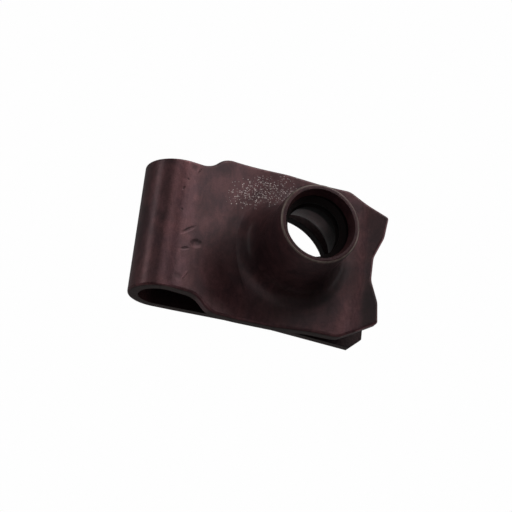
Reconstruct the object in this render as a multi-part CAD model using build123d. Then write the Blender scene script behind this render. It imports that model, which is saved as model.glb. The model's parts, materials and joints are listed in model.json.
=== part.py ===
from build123d import *
import os
from math import cos, radians, sin, tan

# A U clip speed nut: one strip of spring steel, folded into a U, with a tapped barrel
# drawn up out of its upper leg and a plain clearance hole through its lower leg.
# Millimetres. The origin is on the barrel's axis at the lower leg's underside,
# +Z runs out of the barrel's mouth and +X out of the open end of the U.

# Sheet and fold
SHEET = 1.0            # thickness of the strip
GAP = 2.87             # clear space between the two legs, beside the barrel
BEND_X = -14.48        # furthest reach of the fold, on the middle line
BEND_R = 3.05          # outer radius of the fold
SKEW = 1.5             # degrees that the fold and the free end are out of square, as on this one
SHOULDER_TILT = 11.5   # degrees that the upper leg drops from the fold to its flat
SHOULDER_ROUND = 16.0  # radius that eases that slope into the flat
LIP_X = 6.9            # where the lead-in lip starts to rise
LIP_TILT = 13.0        # degrees that the lip rises
LIP_ROUND = 4.0

# Outline of the upper leg, as half widths
NECK_HALF = 6.36       # at the fold
NECK_END_X = -9.7      # the neck starts to widen here
EAR_X = -6.5           # and reaches its full width here
EAR_HALF = 7.71
PULL_X = -1.0          # from here the drawing of the barrel pulls the sides in
WAIST_X = 2.6          # to here
WAIST_HALF = 7.43
SIDE_ROUND = 6.0       # radius that eases the sides in
TAPER_X = 5.36         # the corners are cut back from here
TIP_X = 9.16
TIP_HALF = 5.38
NOTCH_X = 8.16         # bottom of the notch in the free end
NOTCH_HALF = 1.15      # half width of the notch's bottom
NOTCH_SIDE_X = 8.96    # the notch's side starts here
NOTCH_SIDE_HALF = 3.3
NOTCH_ROUND = 2.0
TAPER_ROUND = 1.6      # radius where the cut corner starts
TIP_ROUND = 0.3

# Outline of the lower leg
LOWER_X = 9.02         # its free end
LOWER_NARROW_HALF = 6.26   # half width where it is narrowest
LOWER_NARROW_X = -1.0      # and where that is; its sides spread from there
LOWER_CUT_X = 7.83     # they end here, where the corners are cut back
LOWER_HALF = 6.80      # half width there
LOWER_CUT_HALF = 5.72
LOWER_HOLE_R = 5.04    # clearance hole

# Barrel, as radii and as heights above the flat of the upper leg
BORE_R = 3.05          # plain wall, at the thread's root
BARREL_R = 3.81
BARREL_H = 8.04
MOUTH_R = 3.33         # the chamfered mouth at the rim
MOUTH_DEPTH = 1.0
RIM_ROUND = 0.28       # radius of the rim's outer edge
FLARE_R = 6.4          # the outer wall meets the leg here
FLARE_H = 3.6
FLARE_PULL = (1.3, 1.6)    # how long the flare's curve keeps to the wall and to the leg
THROAT_R = 5.2         # the inner wall meets the leg's underside here
THROAT_H = 3.1
THROAT_PULL = (1.1, 1.0)
EDGE_ROUND = 0.25      # stamped edges, on the outside of the U

BLANK_HALF = 10.0      # half width of the strip before its outline is cut
BLANK_X = 20.0
SPARE = 2.0            # what the strip has past its free ends before they are cut
SIDE_NORMAL = 0.3      # a cut face at the side leans at least this far along Y
END_NORMAL = 0.9       # and one at the free end this far along X

UPPER_TOP = 2 * SHEET + GAP
CUT_Z = UPPER_TOP / 2


def side_line():
    """The outer side of the folded strip on its middle line, from the lip to the lower leg's end."""
    lip_rise = (TIP_X + SPARE - LIP_X) * tan(radians(LIP_TILT))
    fold_x = BEND_X + BEND_R
    tangent_x = fold_x + BEND_R * sin(radians(SHOULDER_TILT))
    tangent_z = BEND_R + BEND_R * cos(radians(SHOULDER_TILT))
    flat_x = tangent_x + (tangent_z - UPPER_TOP) / tan(radians(SHOULDER_TILT))
    corners = [(TIP_X + SPARE, UPPER_TOP + lip_rise), (LIP_X, UPPER_TOP), (flat_x, UPPER_TOP),
               (tangent_x, tangent_z)]
    upper = FilletPolyline(*corners, radius=[LIP_ROUND, SHOULDER_ROUND])
    fold = ThreePointArc((tangent_x, tangent_z), (BEND_X, BEND_R), (fold_x, 0))
    lower = Line((fold_x, 0), (LOWER_X + SPARE, 0))
    return Wire([*upper.edges(), fold.edge(), lower.edge()])


def skewed(x, y):
    """A point of the fold or the free end, moved along X as far as those are out of square."""
    return (x + y * tan(radians(SKEW)), y)


def folded_strip():
    """The strip, folded along lines that are a little out of square, before it is cut to shape."""
    outline = offset(side_line(), amount=SHEET, side=Side.RIGHT, closed=True)
    along = Vector(*skewed(0, 1))
    section = Pos(along * -BLANK_HALF) * (Plane.XZ * make_face(outline))
    return extrude(section, 2 * BLANK_HALF * along.length, dir=along)


def closed_face(half_outline):
    """The face between the two halves of an outline that starts square at the blank's far end."""
    back = Line((-BLANK_X, -NECK_HALF), (-BLANK_X, NECK_HALF))
    return make_face([back, *half_outline(1), *half_outline(-1)])


def upper_half(side):
    """Neck, ear, waist, cut corner and half of the notched free end; side is 1 or -1."""
    neck = Line((-BLANK_X, side * NECK_HALF), (NECK_END_X, side * NECK_HALF))
    ear_middle = ((NECK_END_X + EAR_X) / 2, side * (NECK_HALF + EAR_HALF) / 2)
    ear_in = TangentArc(neck @ 1, ear_middle, tangent=(1, 0))
    ear_out = TangentArc(ear_middle, (EAR_X, side * EAR_HALF), tangent=ear_in % 1)
    rest = FilletPolyline(ear_out @ 1, (PULL_X, side * EAR_HALF), (WAIST_X, side * WAIST_HALF),
                          (TAPER_X, side * WAIST_HALF), skewed(TIP_X, side * TIP_HALF),
                          skewed(NOTCH_SIDE_X, side * NOTCH_SIDE_HALF),
                          skewed(NOTCH_X, side * NOTCH_HALF), (NOTCH_X, 0),
                          radius=[SIDE_ROUND, SIDE_ROUND, TAPER_ROUND, TIP_ROUND,
                                  NOTCH_ROUND, NOTCH_ROUND])
    return [neck, ear_in, ear_out, *rest.edges()]


def lower_half(side):
    """Neck, a side that draws in and spreads again, and a cut corner; side is 1 or -1."""
    neck = Line((-BLANK_X, side * NECK_HALF), (NECK_END_X, side * NECK_HALF))
    draw_in = Line(neck @ 1, (LOWER_NARROW_X, side * LOWER_NARROW_HALF))
    spread = Line(draw_in @ 1, (LOWER_CUT_X, side * LOWER_HALF))
    corner = Line(spread @ 1, (LOWER_X, side * LOWER_CUT_HALF))
    return [neck, draw_in, spread, corner, Line(corner @ 1, (LOWER_X, 0))]


def is_cut_face(face):
    """True for the narrow faces that the outline's cut leaves."""
    normal = face.normal_at(face.position_at(0.5, 0.5))
    free_end = face.center().X > 0
    return abs(normal.Y) > SIDE_NORMAL or (abs(normal.X) > END_NORMAL and free_end)


def is_outer_face(face):
    """True for a broad face on the outside of the U."""
    spot = face.position_at(0.5, 0.5)
    inside = Vector(max(spot.X, BEND_X + BEND_R), spot.Y, CUT_Z)
    return not is_cut_face(face) and face.normal_at(spot).dot(spot - inside) > 0


def rounded_edges(strip):
    """The strip with its outer edges rounded, where the die rolled them; the inner ones stay sharp."""
    outer = ShapeList(e for f in strip.faces() if is_outer_face(f) for e in f.edges())
    rims = [e for f in strip.faces() if is_cut_face(f) for e in f.edges() if e in outer]
    return fillet(rims, EDGE_ROUND)


def upper_prism():
    """All that lies within the upper leg's outline, from the middle of the gap to over the barrel."""
    return Pos(0, 0, CUT_Z) * extrude(closed_face(upper_half), amount=UPPER_TOP + BARREL_H)


def trimmed_strip():
    """The folded strip cut to its outlines, with its edges rounded and the lower leg's hole."""
    lower_prism = Pos(0, 0, CUT_Z) * extrude(closed_face(lower_half), amount=-UPPER_TOP)
    strip = rounded_edges(folded_strip() & (upper_prism() + lower_prism))
    return strip - Pos(0, 0, SHEET / 2) * Cylinder(LOWER_HOLE_R, 2 * SHEET)


def barrel_body():
    """The barrel's outside, solid, down to the underside of the upper leg."""
    top = BARREL_H
    axis = Line((0, -SHEET / 2), (0, top))
    face = Line(axis @ 1, (BARREL_R - RIM_ROUND, top))
    rim = TangentArc(face @ 1, (BARREL_R, top - RIM_ROUND), tangent=(1, 0))
    wall = Line(rim @ 1, (BARREL_R, FLARE_H))
    flare = Spline(wall @ 1, (FLARE_R, 0), tangents=[(0, -1), (1, 0)], tangent_scalars=FLARE_PULL)
    foot = Line(flare @ 1, (THROAT_R, -SHEET / 2))
    floor = Line(foot @ 1, axis @ 0)
    return revolve(Plane.XZ * make_face([axis, face, rim, wall, flare, foot, floor]), Axis.Z)


def barrel_void():
    """The way through the barrel: throat, plain bore and chamfered mouth."""
    over = BARREL_H + SHEET
    under = -2 * SHEET
    axis = Line((0, under), (0, over))
    top = Line(axis @ 1, (MOUTH_R, over))
    open_end = Line(top @ 1, (MOUTH_R, BARREL_H))
    mouth = Line(open_end @ 1, (BORE_R, BARREL_H - MOUTH_DEPTH))
    bore = Line(mouth @ 1, (BORE_R, THROAT_H))
    throat = Spline(bore @ 1, (THROAT_R, -SHEET), tangents=[(0, -1), (1, 0)],
                    tangent_scalars=THROAT_PULL)
    drop = Line(throat @ 1, (THROAT_R, under))
    floor = Line(drop @ 1, axis @ 0)
    return revolve(Plane.XZ * make_face([axis, top, open_end, mouth, bore, throat, drop, floor]), Axis.Z)


def spring_clip():
    """The whole nut: one piece of sheet."""
    lift = Pos(0, 0, UPPER_TOP)
    body = lift * barrel_body() & upper_prism()
    return trimmed_strip() + body - lift * barrel_void()


os.makedirs("parts", exist_ok=True)
clip = spring_clip()
export_step(clip, "parts/spring_clip.step")
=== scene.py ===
import json
import math

import bmesh
import bpy
from bpy.props import FloatProperty, FloatVectorProperty, IntProperty, PointerProperty
from mathutils import Matrix, Vector


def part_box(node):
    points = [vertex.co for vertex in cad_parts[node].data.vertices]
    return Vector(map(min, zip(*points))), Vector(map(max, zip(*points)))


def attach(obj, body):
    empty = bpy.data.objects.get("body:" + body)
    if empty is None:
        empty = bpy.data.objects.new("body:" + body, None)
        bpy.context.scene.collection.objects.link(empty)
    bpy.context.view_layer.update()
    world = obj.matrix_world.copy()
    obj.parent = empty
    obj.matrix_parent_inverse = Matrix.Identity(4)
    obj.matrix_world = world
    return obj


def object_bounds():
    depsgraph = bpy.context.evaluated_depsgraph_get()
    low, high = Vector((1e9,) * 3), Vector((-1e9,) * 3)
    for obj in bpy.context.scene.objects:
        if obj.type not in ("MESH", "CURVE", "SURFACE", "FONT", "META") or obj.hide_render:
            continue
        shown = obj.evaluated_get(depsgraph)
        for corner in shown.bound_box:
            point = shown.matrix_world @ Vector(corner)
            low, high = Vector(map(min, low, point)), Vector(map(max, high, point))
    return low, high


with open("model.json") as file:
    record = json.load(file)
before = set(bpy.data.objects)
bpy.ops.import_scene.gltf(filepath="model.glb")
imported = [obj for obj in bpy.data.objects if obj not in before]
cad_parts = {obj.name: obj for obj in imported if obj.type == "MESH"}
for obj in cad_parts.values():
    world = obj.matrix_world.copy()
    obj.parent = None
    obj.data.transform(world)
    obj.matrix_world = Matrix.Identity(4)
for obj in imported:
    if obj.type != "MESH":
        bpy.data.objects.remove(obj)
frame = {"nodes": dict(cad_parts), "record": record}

bl_info = {
    "name": "U Clip Speed Nut",
    "version": (1, 0, 0),
    "blender": (4, 5, 0),
    "location": "View3D > Sidebar > Speed Nut",
    "description": "Finishes the folded clip, cuts its thread and sets the studio",
    "category": "Object",
}

MM = 0.001
CAD_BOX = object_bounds()
RIM_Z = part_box("spring_clip")[1][2]
MOUNTS = {mount["name"]: mount for mount in frame["record"]["mounts"]}
BORE_R = MOUNTS["barrel_thread"]["dims"]["r_mm"] * MM
BORE_LENGTH = MOUNTS["barrel_thread"]["dims"]["length_mm"] * MM
IMAGE_PX = 512          # side of the square picture
LIGHT_REACH = 0.45      # metres from the part to each softbox
FLOOR_HALF = 0.6        # half the side of the floor
SHEET_STEP = 0.0001     # between the stage's sheets, which lie on each other
CLIP_START = 0.01       # nearest that the camera sees
NOISE_SPAN = {"From Min": 0.30, "From Max": 0.70}   # where nearly all of a noise's values lie
ROUGH_SPREAD = (-0.08, 0.10)    # how far the coat's roughness strays among its crystals
RIDGE_FOOT = 0.44       # half width of the thread's foot, as a share of the pitch
FLANK = math.radians(30)        # slope of the thread's flanks
RUN_OUT = 0.6           # turns over which the ridge fades out at each end
LEAST_RIDGE = 0.02      # share of the ridge's height that is left at its very ends

# Zones of the surface, each with how bright the coat is there, how much rougher it is and its
# limits: the reading, where the zone ends and where it is full. x, y, z and off_axis, the distance
# from the barrel's axis, are in millimetres; sideways, endways and upward say how squarely a face
# looks along Y, +X and +Z. A brightness over one paints light and highlights, one under one paints
# shade, and the rim's zone paints its highlight as a pale tint. Shearing and drawing open the coat
# up, and inside the barrel thick oil has caught dust, so it is rougher there.
ZONES = {
    "sheared_side": (1.0, 0.20, (("sideways", 0.80, 0.95), ("off_axis", 5.3, 5.6))),
    "sheared_end": (1.0, 0.0, (("endways", 0.80, 0.95), ("x", 6.5, 7.0))),
    # Painted highlight: the rim's outer rounding is tinted pale where it catches the light.
    "rim_highlight": (1.0, 0.0, (("z", 12.72, 12.82), ("off_axis", 3.60, 3.66),
                              ("off_axis", 3.95, 3.85))),
    # Painted highlight along the fold's crest.
    "crest_highlight": (1.6, 0.0, (("z", 5.76, 5.98), ("x", -8.5, -10.0))),
    # Painted highlight on the rounded side edges.
    "edge_highlight": (1.5, 0.0, (("sideways", 0.20, 0.35), ("sideways", 0.98, 0.85),
                               ("z", 4.3, 4.5), ("off_axis", 6.2, 6.6))),
    # Painted highlight on the rounded edge of the free end.
    "end_highlight": (3.0, 0.0, (("endways", 0.10, 0.30), ("endways", 0.98, 0.85),
                              ("x", 6.8, 7.4), ("z", 4.5, 4.7))),
    # Painted light on the cone inside the mouth.
    "mouth_light": (1.60, 0.0, (("off_axis", 3.56, 3.48), ("z", 11.7, 11.9),
                                 ("z", 12.90, 12.84))),
    # Painted light on the flat's front edge by the lip's bend.
    "bend_light": (1.22, 0.0, (("x", 5.0, 5.7), ("x", 7.4, 6.8), ("y", -3.4, -4.4),
                                ("upward", 0.90, 0.95), ("z", 4.7, 4.8))),
    # Painted shade on the rim's inner edge, next to the bore.
    "rim_inner_shade": (0.60, 0.0, (("off_axis", 3.62, 3.56), ("z", 12.84, 12.89))),
    # Painted shade in the tapped bore, which oil also makes rougher.
    "bore_shade": (0.08, 0.40, (("off_axis", 3.54, 3.40), ("z", 8.1, 8.5), ("z", 12.0, 11.8))),
    # Painted shade on the throat, darker towards +X.
    "throat_shade": (0.25, 0.45, (("off_axis", 3.75, 3.65), ("z", 8.4, 8.2), ("x", 1.8, 3.1))),
    # Painted shade on the downward faces round the throat's foot, inside the gap.
    "throat_foot_shade": (0.35, 0.45, (("off_axis", 5.3, 5.1), ("z", 5.9, 5.4),
                                       ("upward", 0.05, -0.05))),
    # Painted shade on the wall of the lower leg's hole.
    "hole_shade": (0.15, 0.45, (("off_axis", 5.20, 5.06), ("z", 1.2, 1.0))),
    # Painted shade on the lower leg's top face, inside the gap.
    "gap_floor_shade": (0.25, 0.0, (("z", 0.85, 0.95), ("z", 1.3, 1.1), ("x", -12.5, -11.5))),
    # Painted shade on the lip's top face.
    "lip_shade": (0.50, 0.0, (("x", 7.0, 7.7), ("upward", 0.90, 0.95), ("z", 4.7, 4.8))),
    # Painted shade on the flare's foot on its +X front side, with a sharp edge where the light
    # stops.
    "flare_foot_shade": (0.36, 0.0, (("off_axis", 6.1, 5.5), ("off_axis", 3.7, 3.9),
                                     ("z", 4.80, 4.87), ("x", 0.5, 2.5), ("y", 1.0, -0.8))),
    # Slight painted shade on the flare; the drawing left its coat rougher.
    "drawn_flare_shade": (0.90, 0.20, (("off_axis", 7.4, 6.2), ("off_axis", 3.6, 3.9),
                                 ("z", 4.80, 4.87))),
}

# Marks that handling left in the coat, and broad darker patches, of which three are painted shadow
# of the barrel: spot (x, y, z), turn in degrees about Z, length, width, height (a dent is negative),
# all in millimetres, and how much darker the coat is there.
MARKS = {
    "dent": ((-9.45, -1.55, 5.76), 15, 1.45, 1.05, -0.060, 0.05),
    "drag_mark": ((-10.40, -0.45, 5.94), 38, 2.20, 0.46, -0.035, 0.25),
    "short_groove": ((-10.55, -2.35, 5.97), 20, 1.20, 0.42, -0.030, 0.30),
    "rear_scratch": ((-9.85, 5.75, 5.86), 62, 1.10, 0.24, 0.040, 0.0),
    "rear_patch": ((-10.50, 5.80, 5.99), 0, 1.10, 1.00, -0.010, 0.45),
    "rear_pit": ((-10.98, 4.45, 6.08), 0, 0.34, 0.26, -0.030, 0.70),
    "crest_pit": ((-11.31, 3.46, 6.10), 60, 0.60, 0.26, -0.025, 0.55),
    "fold_pit": ((-11.26, 1.36, 6.09), 0, 0.32, 0.28, -0.030, 0.60),
    "crest_swirl": ((-11.85, -0.16, 6.07), 30, 1.00, 0.60, 0.012, 0.0),
    "slope_smudge": ((-8.90, 1.45, 5.66), 70, 1.30, 0.70, -0.010, 0.22),
    "neck_smudge": ((-10.89, -5.17, 6.02), -20, 1.20, 0.90, -0.015, 0.35),
    "neck_streak": ((-10.21, -4.88, 5.89), 65, 1.30, 0.24, 0.030, 0.0),
    # Painted shadow of the barrel on the flat left of it.
    "barrel_shadow_patch": ((-5.40, -1.20, 5.00), 0, 9.00, 10.0, 0.0, 0.38),
    "ear_patch": ((-7.40, 6.80, 5.35), 20, 4.00, 2.60, 0.0, 0.40),
    "slope_patch": ((-8.60, 2.60, 5.60), 70, 5.00, 3.40, 0.0, 0.28),
    # Painted shadow of the barrel on the flat in front of it.
    "front_shadow_patch": ((0.30, -5.80, 4.90), 5, 11.00, 6.50, 0.0, 0.55),
    # Painted shadow of the barrel towards the front corner.
    "corner_shadow_patch": ((3.50, -4.80, 4.90), 10, 5.40, 4.50, 0.0, 0.45),
    "bend_patch": ((6.20, -1.00, 4.90), 0, 2.60, 6.00, 0.0, 0.25),
    "tip_patch": ((8.20, -3.60, 5.15), 0, 3.20, 6.50, 0.0, 0.50),
    "lip_patch": ((6.60, 4.80, 4.95), 0, 4.00, 4.00, 0.0, 0.30),
}

# The patch of flat beside the barrel where glints of single crystals are painted into the colour
# as pale dots, a painted highlight: its middle and half sizes in millimetres, its turn in degrees
# about Z, and the share of the cells in its middle that show one.
GLINT_MIDDLE = (-3.4, 5.3, 4.95)
GLINT_REACH = (4.0, 1.7, 1.5)
GLINT_TURN = 22
GLINT_SHARE = 0.65

# Lights: the setting that holds the power, the size in metres, and the place in degrees: azimuth
# from +X towards +Y, and elevation.
SOFTBOXES = {
    "key_softbox": ("key_power", (0.50, 0.18), 60, 47),
    "low_key_softbox": ("low_key_power", (0.16, 0.16), 60, 35),
    "rear_strip": ("rear_power", (0.40, 0.16), 75, 5),
    "left_strip": ("left_power", (0.40, 0.12), 158, 8),
    "top_softbox": ("top_power", (0.20, 0.16), 128, 64),
    "overhead_fill": ("fill_power", (0.30, 0.30), 240, 76),
    "rear_fill": ("rear_fill_power", (0.25, 0.22), 155, 38),
    "end_softbox": ("end_power", (0.25, 0.12), 12, 22),
    "front_fill": ("front_fill_power", (0.30, 0.25), 295, 42),
}


def linear(text):
    """The linear colour, with an alpha of one, of an sRGB hex value."""
    parts = [int(text[i:i + 2], 16) / 255 for i in (1, 3, 5)]
    return tuple(c / 12.92 if c <= 0.04045 else ((c + 0.055) / 1.055) ** 2.4 for c in parts) + (1.0,)


def add_node(tree, kind, values=None, links=None, **settings):
    """Adds a node; values fill its sockets, links join them to (node, output) pairs."""
    node = tree.nodes.new(kind)
    for name, value in settings.items():
        setattr(node, name, value)
    for socket, value in (values or {}).items():
        node.inputs[socket].default_value = value
    for socket, (source, output) in (links or {}).items():
        tree.links.new(source.outputs[output], node.inputs[socket])
    return node


def new_material(name):
    """An empty node material and its tree."""
    material = bpy.data.materials.new(name)
    material.use_nodes = True
    material.node_tree.nodes.clear()
    return material, material.node_tree


def mesh_object(name, mesh_data):
    """A new object in the scene's collection that shows a bmesh."""
    mesh = bpy.data.meshes.new(name)
    mesh_data.to_mesh(mesh)
    mesh_data.free()
    piece = bpy.data.objects.new(name, mesh)
    bpy.context.scene.collection.objects.link(piece)
    return piece


class StripFinish(bpy.types.PropertyGroup):
    """The look of the phosphated strip."""
    coat_colour: FloatVectorProperty(
        name="Coat", description="Brown phosphate coat", subtype="COLOR", size=4,
        min=0, max=1, default=linear("#5f3d3f"))
    dark_colour: FloatVectorProperty(
        name="Dark patches", description="Where the coat is thicker and holds more oil",
        subtype="COLOR", size=4, min=0, max=1, default=linear("#4c3236"))
    cut_colour: FloatVectorProperty(
        name="Cut faces", description="Sheared edges, where the coat is thin and dull",
        subtype="COLOR", size=4, min=0, max=1, default=linear("#483735"))
    # Painted highlight: the pale tint on the rim's outer rounding.
    rim_sheen_colour: FloatVectorProperty(
        name="Bare steel", description="Rim that is rubbed nearly through to the steel",
        subtype="COLOR", size=4, min=0, max=1, default=linear("#8c7c74"))
    # Painted highlight: this pale colour is mixed into the coat as glints of single crystals.
    glint_colour: FloatVectorProperty(
        name="Glint", description="Single crystals that catch the light", subtype="COLOR",
        size=4, min=0, max=1, default=linear("#ecdeda"))
    # Painted shade: both thread colours are nearly black as shade in the deep bore.
    thread_shade_colour: FloatVectorProperty(
        name="Thread", description="Oiled coat of the tapped thread", subtype="COLOR", size=4,
        min=0, max=1, default=linear("#120b0b"))
    thread_pale_shade_colour: FloatVectorProperty(
        name="Thread, paler", description="Fine lines that the tap left", subtype="COLOR",
        size=4, min=0, max=1, default=linear("#1c1212"))
    streak: FloatProperty(
        name="Streak", description="Width of the wiped streaks", unit="LENGTH",
        default=0.9 * MM)
    glint: FloatProperty(
        name="Glint width", description="Width of the cells that hold one glint each",
        unit="LENGTH", default=0.13 * MM)
    blotch: FloatProperty(
        name="Patch", description="Width of the coat's uneven patches", unit="LENGTH",
        default=2.6 * MM)
    grain: FloatProperty(
        name="Grain", description="Width of the coat's crystals", unit="LENGTH", default=0.16 * MM)
    grain_height: FloatProperty(
        name="Grain height", description="Relief of the crystals", unit="LENGTH",
        default=0.012 * MM)
    roughness: FloatProperty(
        name="Roughness", description="Roughness of the coat", subtype="FACTOR", default=0.36)


class ThreadCut(bpy.types.PropertyGroup):
    """Sizes of the tapped thread."""
    pitch: FloatProperty(
        name="Pitch", description="Rise in one turn", unit="LENGTH", default=1.0 * MM)
    crest: FloatProperty(
        name="Crest radius", description="Radius inside the ridge", unit="LENGTH",
        default=2.5 * MM)
    bite: FloatProperty(
        name="Bite", description="How far the ridge's foot reaches into the wall", unit="LENGTH",
        default=0.05 * MM)
    clear: FloatProperty(
        name="Clear", description="Plain wall below the thread's run-out", unit="LENGTH",
        default=1.0 * MM)
    clear_top: FloatProperty(
        name="Clear above", description="From the thread's run-out to the mouth's cone",
        unit="LENGTH", default=0.1 * MM)
    steps: IntProperty(name="Steps", description="Steps in one turn", default=72, min=12)


class StudioSet(bpy.types.PropertyGroup):
    """Camera, floor and lights."""
    azimuth: FloatProperty(
        name="Azimuth", description="Camera round the part, from behind -Y", subtype="ANGLE",
        default=math.radians(-35.87))
    elevation: FloatProperty(
        name="Elevation", description="Camera above the floor", subtype="ANGLE",
        default=math.radians(63.10))
    roll: FloatProperty(
        name="Roll", description="Turn of the camera about its own line of sight",
        subtype="ANGLE", default=math.radians(44.93))
    distance: FloatProperty(
        name="Distance", description="From the camera to the point it looks at", unit="LENGTH",
        default=211.93 * MM)
    aim: FloatVectorProperty(
        name="Aim", description="The point in the middle of the picture", subtype="XYZ",
        unit="LENGTH", default=(-3.024 * MM, -0.679 * MM, 3.692 * MM))
    focal_px: FloatProperty(
        name="Focal length", description="Focal length in pixels of the square picture",
        subtype="PIXEL", default=2265.9)
    floor_colour: FloatVectorProperty(
        name="Floor", description="Pale floor", subtype="COLOR", size=4, min=0, max=1,
        default=linear("#fefefe"))
    bounce: FloatProperty(
        name="Bounce", description="Light that the floor sends up at the part",
        subtype="FACTOR", min=0, max=1, default=0.6)
    floor_sheen: FloatProperty(
        name="Floor sheen", description="How bright the floor is as the part's oil mirrors it",
        subtype="FACTOR", min=0, max=1, default=0.14)
    air_colour: FloatVectorProperty(
        name="Air", description="Room light round the stage", subtype="COLOR", size=4, min=0,
        max=1, default=linear("#8c8c8c"))
    air_strength: FloatProperty(
        name="Air strength", description="How bright the room light is", subtype="FACTOR",
        min=0, max=1, default=0.01)
    key_power: FloatProperty(
        name="Key", description="Overhead softbox", unit="POWER", default=0.40)
    low_key_power: FloatProperty(
        name="Low key", description="Softbox under the key", unit="POWER", default=0.165)
    rear_power: FloatProperty(
        name="Rear", description="Low light behind the part", unit="POWER", default=0.27)
    left_power: FloatProperty(
        name="Left", description="Low strip light on the fold's side", unit="POWER", default=0.24)
    top_power: FloatProperty(
        name="Top", description="Light above the fold", unit="POWER", default=0.085)
    fill_power: FloatProperty(
        name="Fill", description="Soft light straight above", unit="POWER", default=0.20)
    rear_fill_power: FloatProperty(
        name="Rear fill", description="Weak light between the left strip and the top one",
        unit="POWER", default=0.045)
    end_power: FloatProperty(
        name="End", description="Low light off the open end", unit="POWER", default=0.12)
    front_fill_power: FloatProperty(
        name="Front fill", description="Weak light from the front", unit="POWER", default=0.045)


def surface_readings(tree):
    """What the zones go by, and the place itself, as (node, output) pairs."""
    place = add_node(tree, "ShaderNodeTexCoord")
    spot = add_node(tree, "ShaderNodeSeparateXYZ", links={0: (place, "Object")})
    flat = add_node(
        tree, "ShaderNodeVectorMath", {1: (1, 1, 0)}, {0: (place, "Object")}, operation="MULTIPLY")
    off_axis = add_node(
        tree, "ShaderNodeVectorMath", links={0: (flat, "Vector")}, operation="LENGTH")
    surface = add_node(tree, "ShaderNodeNewGeometry")
    facing = add_node(tree, "ShaderNodeSeparateXYZ", links={0: (surface, "Normal")})
    sideways = add_node(
        tree, "ShaderNodeMath", links={0: (facing, "Y")}, operation="ABSOLUTE")
    return {"place": (place, "Object"), "x": (spot, "X"), "y": (spot, "Y"), "z": (spot, "Z"),
            "off_axis": (off_axis, "Value"), "sideways": (sideways, "Value"),
            "endways": (facing, "X"), "upward": (facing, "Z")}


def zone_mask(tree, readings, limits):
    """The (node, output) pair that is one inside a zone and fades to zero past its limits."""
    inside = None
    for reading, end, full in limits:
        unit = 1 if reading in ("sideways", "endways", "upward") else MM
        within = add_node(
            tree, "ShaderNodeMapRange", {"From Min": end * unit, "From Max": full * unit},
            {"Value": readings[reading]}, interpolation_type="SMOOTHSTEP")
        if inside is None:
            inside = within, "Result"
        else:
            overlap = add_node(
                tree, "ShaderNodeMath", links={0: inside, 1: (within, "Result")},
                operation="MULTIPLY")
            inside = overlap, "Value"
    return inside


def glint_mask(tree, readings, size):
    """Painted glints: pale dots in the colour, where single crystals would catch the light."""
    area = add_node(
        tree, "ShaderNodeMapping",
        {"Location": [c * MM for c in GLINT_MIDDLE],
         "Rotation": (0, 0, math.radians(GLINT_TURN)), "Scale": [c * MM for c in GLINT_REACH]},
        {"Vector": readings["place"]}, vector_type="TEXTURE")
    reach = add_node(tree, "ShaderNodeVectorMath", links={0: (area, "Vector")}, operation="LENGTH")
    # The glints thin out from the inner part of the patch to just past its edge.
    share = add_node(
        tree, "ShaderNodeMapRange",
        {"From Min": 1.15, "From Max": 0.40, "To Max": GLINT_SHARE},
        {"Value": (reach, "Value")}, interpolation_type="SMOOTHSTEP")
    cells = add_node(
        tree, "ShaderNodeTexVoronoi", {"Scale": 1 / size}, {"Vector": readings["place"]})
    chance = add_node(tree, "ShaderNodeSeparateXYZ", links={0: (cells, "Color")})
    chosen = add_node(
        tree, "ShaderNodeMath", links={0: (chance, "X"), 1: (share, "Result")},
        operation="LESS_THAN")
    dot = add_node(
        tree, "ShaderNodeMapRange", {"From Min": 0.50, "From Max": 0.20},
        {"Value": (cells, "Distance")}, interpolation_type="SMOOTHSTEP")
    fainter = add_node(
        tree, "ShaderNodeMath", links={0: (dot, "Result"), 1: (chance, "Y")}, operation="MULTIPLY")
    shown = add_node(
        tree, "ShaderNodeMath", links={0: (chosen, "Value"), 1: (fainter, "Value")},
        operation="MULTIPLY")
    return shown, "Value"


def marks_and_shadow_patches(tree, readings):
    """The marks' height in metres and how much darker they are, as (node, output) pairs; the
    darkening also holds the painted shadow of the barrel.
    """
    heights, shades = [], []
    for spot, turn, length, width, rise, darker in MARKS.values():
        within = add_node(
            tree, "ShaderNodeMapping",
            {"Location": [c * MM for c in spot], "Rotation": (0, 0, math.radians(turn)),
             "Scale": (length / 2 * MM, width / 2 * MM, length / 2 * MM)},
            {"Vector": readings["place"]}, vector_type="TEXTURE")
        reach = add_node(
            tree, "ShaderNodeVectorMath", links={0: (within, "Vector")}, operation="LENGTH")
        for amount, kept in ((rise * MM, heights), (darker, shades)):
            kept.append(add_node(
                tree, "ShaderNodeMapRange", {"From Min": 1.0, "From Max": 0.2, "To Max": amount},
                {"Value": (reach, "Value")}, interpolation_type="SMOOTHSTEP"))
    totals = []
    for kept, operation in ((heights, "ADD"), (shades, "MAXIMUM")):
        total = kept[0], "Result"
        for mark in kept[1:]:
            joined = add_node(
                tree, "ShaderNodeMath", links={0: total, 1: (mark, "Result")}, operation=operation)
            total = joined, "Value"
        totals.append(total)
    return totals


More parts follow.
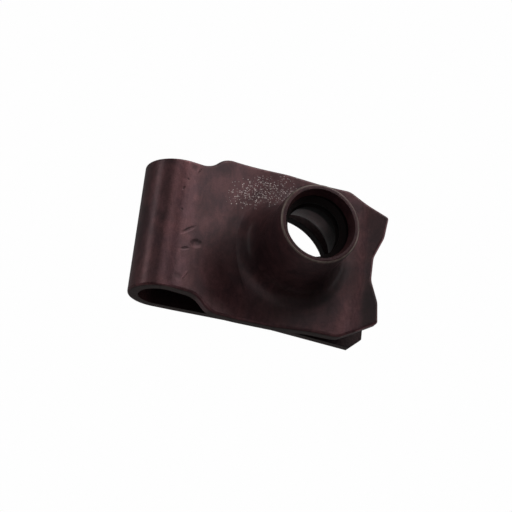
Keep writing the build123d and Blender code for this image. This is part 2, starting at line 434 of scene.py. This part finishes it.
def phosphate_coat(finish):
    """Zinc phosphate over spring steel, soaked in oil: a dark brown, fine-grained crust.

    The crust scatters part of the light and the steel under it gives a broad dull shine. The oil
    adds a thin, sharper one; pale dots mixed into the colour beside the barrel are painted glints of
    single crystals. Sheared faces took the coat worse and look duller. The zones' tones paint
    highlights and shade, three broad patches paint the barrel's shadow, and the tapped bore is
    painted dark as shade and rougher with oil.
    """
    material, tree = new_material("phosphated_spring_steel")
    readings = surface_readings(tree)
    patches = add_node(
        tree, "ShaderNodeTexNoise",
        {"Scale": 1 / finish.blotch, "Detail": 4.0, "Roughness": 0.6, "Distortion": 0.4},
        {"Vector": readings["place"]})
    # Wiped oil leaves streaks along Y, across the strip.
    wiped = add_node(
        tree, "ShaderNodeMapping", {"Scale": (1.0, 0.45, 1.0)}, {"Vector": readings["place"]})
    streaks = add_node(
        tree, "ShaderNodeTexNoise",
        {"Scale": 1 / finish.streak, "Detail": 4.0, "Roughness": 0.6, "Distortion": 1.2},
        {"Vector": (wiped, "Vector")})
    # The real crystals are about 0.01 mm wide, too fine for the picture, so they are drawn coarser.
    crystals = add_node(
        tree, "ShaderNodeTexNoise", {"Scale": 1 / finish.grain, "Detail": 3.0, "Roughness": 0.7},
        {"Vector": readings["place"]})
    patch = add_node(
        tree, "ShaderNodeMapRange", {"From Min": 0.36, "From Max": 0.66},
        {"Value": (patches, "Fac")}, interpolation_type="SMOOTHSTEP")
    coat = add_node(
        tree, "ShaderNodeMix", {6: finish.coat_colour, 7: finish.dark_colour},
        {0: (patch, "Result")}, data_type="RGBA")
    masks = {name: zone_mask(tree, readings, limits) for name, (_, _, limits) in ZONES.items()}
    colour = coat, 2
    # The rim's pale tint is a painted highlight; the cut faces' tint is their own colour.
    for name, tint in (("sheared_side", finish.cut_colour), ("sheared_end", finish.cut_colour),
                       ("rim_highlight", finish.rim_sheen_colour)):
        tinted = add_node(
            tree, "ShaderNodeMix", {7: tint}, {0: masks[name], 6: colour}, data_type="RGBA")
        colour = tinted, 2
    mark_height, darker_marks_and_shadow = marks_and_shadow_patches(tree, readings)
    unmarked = add_node(
        tree, "ShaderNodeMath", {0: 1.0}, {1: darker_marks_and_shadow}, operation="SUBTRACT")
    speckle = add_node(
        tree, "ShaderNodeMapRange", {**NOISE_SPAN, "To Min": 0.84, "To Max": 1.14},
        {"Value": (crystals, "Fac")}, interpolation_type="SMOOTHSTEP")
    smear = add_node(
        tree, "ShaderNodeMapRange", {**NOISE_SPAN, "To Min": 0.80, "To Max": 1.18},
        {"Value": (streaks, "Fac")}, interpolation_type="SMOOTHSTEP")
    brightness = unmarked, "Value"
    for tone in ((speckle, "Result"), (smear, "Result")):
        product = add_node(
            tree, "ShaderNodeMath", links={0: brightness, 1: tone}, operation="MULTIPLY")
        brightness = product, "Value"
    rough = add_node(
        tree, "ShaderNodeMapRange",
        {**NOISE_SPAN, "To Min": finish.roughness + ROUGH_SPREAD[0],
         "To Max": finish.roughness + ROUGH_SPREAD[1]},
        {"Value": (crystals, "Fac")}, interpolation_type="SMOOTHSTEP")
    roughness = rough, "Result"
    # A tone over one paints light, a tone under one paints shade.
    for name, (tone, rise, _) in ZONES.items():
        if tone != 1.0:
            toned = add_node(
                tree, "ShaderNodeMath", {1: tone - 1, 2: 1.0}, {0: masks[name]},
                operation="MULTIPLY_ADD")
            product = add_node(
                tree, "ShaderNodeMath", links={0: brightness, 1: (toned, "Value")},
                operation="MULTIPLY")
            brightness = product, "Value"
        if rise != 0.0:
            rougher = add_node(
                tree, "ShaderNodeMath", {1: rise}, {0: masks[name], 2: roughness},
                operation="MULTIPLY_ADD")
            roughness = rougher, "Value"
    shaded = add_node(
        tree, "ShaderNodeVectorMath", links={0: colour, "Scale": brightness}, operation="SCALE")
    # The glints are painted: pale dots mixed into the colour.
    glinting = add_node(
        tree, "ShaderNodeMix", {7: finish.glint_colour},
        {0: glint_mask(tree, readings, finish.glint), 6: (shaded, "Vector")}, data_type="RGBA")
    relief = add_node(
        tree, "ShaderNodeBump",
        {"Strength": 0.5, "Distance": finish.grain_height}, {"Height": (crystals, "Fac")})
    marked = add_node(
        tree, "ShaderNodeBump", {"Strength": 1.0, "Distance": 1.0},
        {"Height": mark_height, "Normal": (relief, "Normal")})
    surface = add_node(
        tree, "ShaderNodeBsdfPrincipled",
        {"Metallic": 0.6, "Coat Weight": 0.2, "Coat Roughness": 0.25, "Coat IOR": 1.47},
        {"Base Color": (glinting, 2), "Roughness": roughness, "Normal": (marked, "Normal")})
    add_node(tree, "ShaderNodeOutputMaterial", links={"Surface": (surface, "BSDF")})
    return material


def tapped_steel(finish):
    """Spring steel cut by a tap before the coat went on: the same coat, thinner, and painted nearly
    black as shade in the deep bore.

    The tap leaves fine lines round the ridge, so the shine is broken up along its height.
    """
    material, tree = new_material("oiled_tapped_steel")
    place = add_node(tree, "ShaderNodeTexCoord")
    stretched = add_node(
        tree, "ShaderNodeMapping", {"Scale": (0.25, 0.25, 1.0)}, {"Vector": (place, "Object")})
    lines = add_node(
        tree, "ShaderNodeTexNoise",
        {"Scale": 1 / finish.grain, "Detail": 3.0, "Roughness": 0.65},
        {"Vector": (stretched, "Vector")})
    shade = add_node(
        tree, "ShaderNodeMapRange", NOISE_SPAN, {"Value": (lines, "Fac")},
        interpolation_type="SMOOTHSTEP")
    # Both colours are painted shade of the deep bore.
    colour = add_node(
        tree, "ShaderNodeMix", {6: finish.thread_shade_colour, 7: finish.thread_pale_shade_colour},
        {0: (shade, "Result")}, data_type="RGBA")
    rough = add_node(
        tree, "ShaderNodeMapRange", {**NOISE_SPAN, "To Min": 0.55, "To Max": 0.70},
        {"Value": (lines, "Fac")}, interpolation_type="SMOOTHSTEP")
    relief = add_node(
        tree, "ShaderNodeBump",
        {"Strength": 0.5, "Distance": finish.grain_height}, {"Height": (lines, "Fac")})
    surface = add_node(
        tree, "ShaderNodeBsdfPrincipled", {"Metallic": 0.4, "Specular IOR Level": 0.2},
        {"Base Color": (colour, 2), "Roughness": (rough, "Result"), "Normal": (relief, "Normal")})
    add_node(tree, "ShaderNodeOutputMaterial", links={"Surface": (surface, "BSDF")})
    return material


class SPEEDNUT_OT_finish_strip(bpy.types.Operator):
    """Gives the folded strip its phosphate coat"""
    bl_idname = "speednut.finish_strip"
    bl_label = "Finish the Strip"

    def execute(self, context):
        strip = frame["nodes"]["spring_clip"]
        if not strip.material_slots:
            raise RuntimeError("the strip has no material slot to finish")
        coat = phosphate_coat(context.scene.strip_finish)
        for slot in strip.material_slots:
            slot.material = coat
        return {"FINISHED"}


def thread_ridge(cut, bottom, top):
    """The ridge of the thread as one closed helical band that fades out at both ends."""
    foot = BORE_R + cut.bite
    half_foot = RIDGE_FOOT * cut.pitch
    count = int((top - bottom) / cut.pitch * cut.steps)
    fade = RUN_OUT * cut.steps
    ridge = bmesh.new()
    rings = []
    for i in range(count + 1):
        angle = 2 * math.pi * i / cut.steps
        height = bottom + (top - bottom) * i / count
        reach = max(LEAST_RIDGE, min(1.0, i / fade, (count - i) / fade))
        crest = foot - (foot - cut.crest) * reach
        half_crest = half_foot - (foot - crest) * math.tan(FLANK)
        profile = [(foot, -half_foot), (crest, -half_crest), (crest, half_crest), (foot, half_foot)]
        rings.append([ridge.verts.new((r * math.cos(angle), r * math.sin(angle), height + z))
                      for r, z in profile])
    for near, far in zip(rings, rings[1:]):
        for k in range(4):
            ridge.faces.new((near[k], near[(k + 1) % 4], far[(k + 1) % 4], far[k]))
    ridge.faces.new(rings[0][::-1])
    ridge.faces.new(rings[-1])
    bmesh.ops.recalc_face_normals(ridge, faces=ridge.faces)
    return ridge


class SPEEDNUT_OT_cut_thread(bpy.types.Operator):
    """Cuts the thread in the barrel's bore"""
    bl_idname = "speednut.cut_thread"
    bl_label = "Cut the Thread"

    def execute(self, context):
        cut = context.scene.thread_cut
        middle = MOUNTS["barrel_thread"]["pos_m"][2]
        top = middle + BORE_LENGTH / 2 - cut.clear_top
        bottom = middle - BORE_LENGTH / 2 + cut.clear
        if not bottom < top < RIM_Z:
            raise RuntimeError("the thread has no bore to sit in")
        thread = mesh_object("barrel_thread", thread_ridge(cut, bottom, top))
        thread.data.materials.append(tapped_steel(context.scene.strip_finish))
        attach(thread, "root")
        return {"FINISHED"}


def camera_axes(studio):
    """The camera's right, up and backward directions."""
    back = Vector((math.sin(studio.azimuth) * math.cos(studio.elevation),
                   -math.cos(studio.azimuth) * math.cos(studio.elevation),
                   math.sin(studio.elevation)))
    level = Vector((math.cos(studio.azimuth), math.sin(studio.azimuth), 0))
    above = back.cross(level)
    turn = Matrix.Rotation(studio.roll, 3, back)
    return turn @ level, turn @ above, back


def place_camera(studio):
    """The camera at the photograph's angle and distance."""
    right, above, back = camera_axes(studio)
    lens = bpy.data.cameras.new("studio_camera")
    lens.sensor_width = 36
    lens.lens = lens.sensor_width * studio.focal_px / IMAGE_PX
    camera = bpy.data.objects.new("studio_camera", lens)
    bpy.context.scene.collection.objects.link(camera)
    spot = Vector(studio.aim) + studio.distance * back
    turn = Matrix((right, above, back)).transposed().to_4x4()
    camera.matrix_world = Matrix.Translation(spot) @ turn
    lens.clip_start = CLIP_START
    bpy.context.scene.camera = camera


def place_softbox(name, power, size, azimuth, elevation):
    """An area light that faces the part, with its size in metres and its angles in degrees."""
    light = bpy.data.lights.new(name, "AREA")
    light.energy = power
    light.shape = "RECTANGLE"
    light.size, light.size_y = size
    lamp = bpy.data.objects.new(name, light)
    bpy.context.scene.collection.objects.link(lamp)
    turn, rise = math.radians(azimuth), math.radians(elevation)
    level = math.cos(rise)
    towards = Vector((level * math.cos(turn), level * math.sin(turn), math.sin(rise)))
    lamp.location = (CAD_BOX[0] + CAD_BOX[1]) / 2 + LIGHT_REACH * towards
    lamp.rotation_euler = towards.to_track_quat("Z", "Y").to_euler()


def glowing_sheet(name, colour, strength):
    """A matt acrylic sheet lit from below: all of its light is its own, so it shows no shadow."""
    material, tree = new_material(name)
    surface = add_node(
        tree, "ShaderNodeBsdfPrincipled",
        {"Base Color": linear("#000000"), "Roughness": 0.9, "Specular IOR Level": 0.0,
         "Emission Color": colour, "Emission Strength": strength})
    add_node(tree, "ShaderNodeOutputMaterial", links={"Surface": (surface, "BSDF")})
    return material


def place_sheet(name, sheet, depth, material, seen_by):
    """A stage sheet just under the part, which only the named kind of ray meets."""
    piece = mesh_object(name, sheet)
    piece.location.z = CAD_BOX[0].z - depth
    piece.data.materials.append(material)
    for kind in ("camera", "diffuse", "glossy"):
        setattr(piece, "visible_" + kind, kind == seen_by)


def place_floor(studio):
    """The floor that the camera sees, and under it what the part's matt and shiny sides catch."""
    sheets = (("floor", "pale_acrylic", 1.0, "camera"),
              ("floor_bounce", "acrylic_bounce", studio.bounce, "diffuse"),
              ("floor_sheen", "acrylic_sheen", studio.floor_sheen, "glossy"))
    for i, (name, finish, strength, seen_by) in enumerate(sheets):
        sheet = bmesh.new()
        bmesh.ops.create_grid(sheet, x_segments=8, y_segments=8, size=FLOOR_HALF)
        material = glowing_sheet(finish, studio.floor_colour, strength)
        place_sheet(name, sheet, i * SHEET_STEP, material, seen_by)


class SPEEDNUT_OT_set_stage(bpy.types.Operator):
    """Sets the floor, the lights and the camera"""
    bl_idname = "speednut.set_stage"
    bl_label = "Set the Stage"

    def execute(self, context):
        studio = context.scene.studio_set
        place_floor(studio)
        for name, (power, size, azimuth, elevation) in SOFTBOXES.items():
            place_softbox(name, getattr(studio, power), size, azimuth, elevation)
        world = bpy.data.worlds.new("studio_air")
        world.use_nodes = True
        air = world.node_tree.nodes["Background"]
        air.inputs["Color"].default_value = studio.air_colour
        air.inputs["Strength"].default_value = studio.air_strength
        context.scene.world = world
        context.scene.view_settings.view_transform = "Standard"
        place_camera(studio)
        return {"FINISHED"}


class SPEEDNUT_PT_panel(bpy.types.Panel):
    """Sizes and colours of the nut, and the steps that make it"""
    bl_label = "Speed Nut"
    bl_idname = "SPEEDNUT_PT_panel"
    bl_space_type = "VIEW_3D"
    bl_region_type = "UI"
    bl_category = "Speed Nut"

    def draw(self, context):
        for group, step in (("strip_finish", "speednut.finish_strip"),
                            ("thread_cut", "speednut.cut_thread"),
                            ("studio_set", "speednut.set_stage")):
            box = self.layout.box()
            settings = getattr(context.scene, group)
            for name in settings.__annotations__:
                box.prop(settings, name)
            box.operator(step)


CLASSES = (StripFinish, ThreadCut, StudioSet, SPEEDNUT_OT_finish_strip, SPEEDNUT_OT_cut_thread,
           SPEEDNUT_OT_set_stage, SPEEDNUT_PT_panel)


def register():
    for part in CLASSES:
        bpy.utils.register_class(part)
    bpy.types.Scene.strip_finish = PointerProperty(type=StripFinish)
    bpy.types.Scene.thread_cut = PointerProperty(type=ThreadCut)
    bpy.types.Scene.studio_set = PointerProperty(type=StudioSet)


def unregister():
    for name in ("strip_finish", "thread_cut", "studio_set"):
        delattr(bpy.types.Scene, name)
    for part in reversed(CLASSES):
        bpy.utils.unregister_class(part)


def main():
    register()
    bpy.ops.speednut.finish_strip()
    bpy.ops.speednut.cut_thread()
    bpy.ops.speednut.set_stage()


if __name__ == "__main__":
    main()
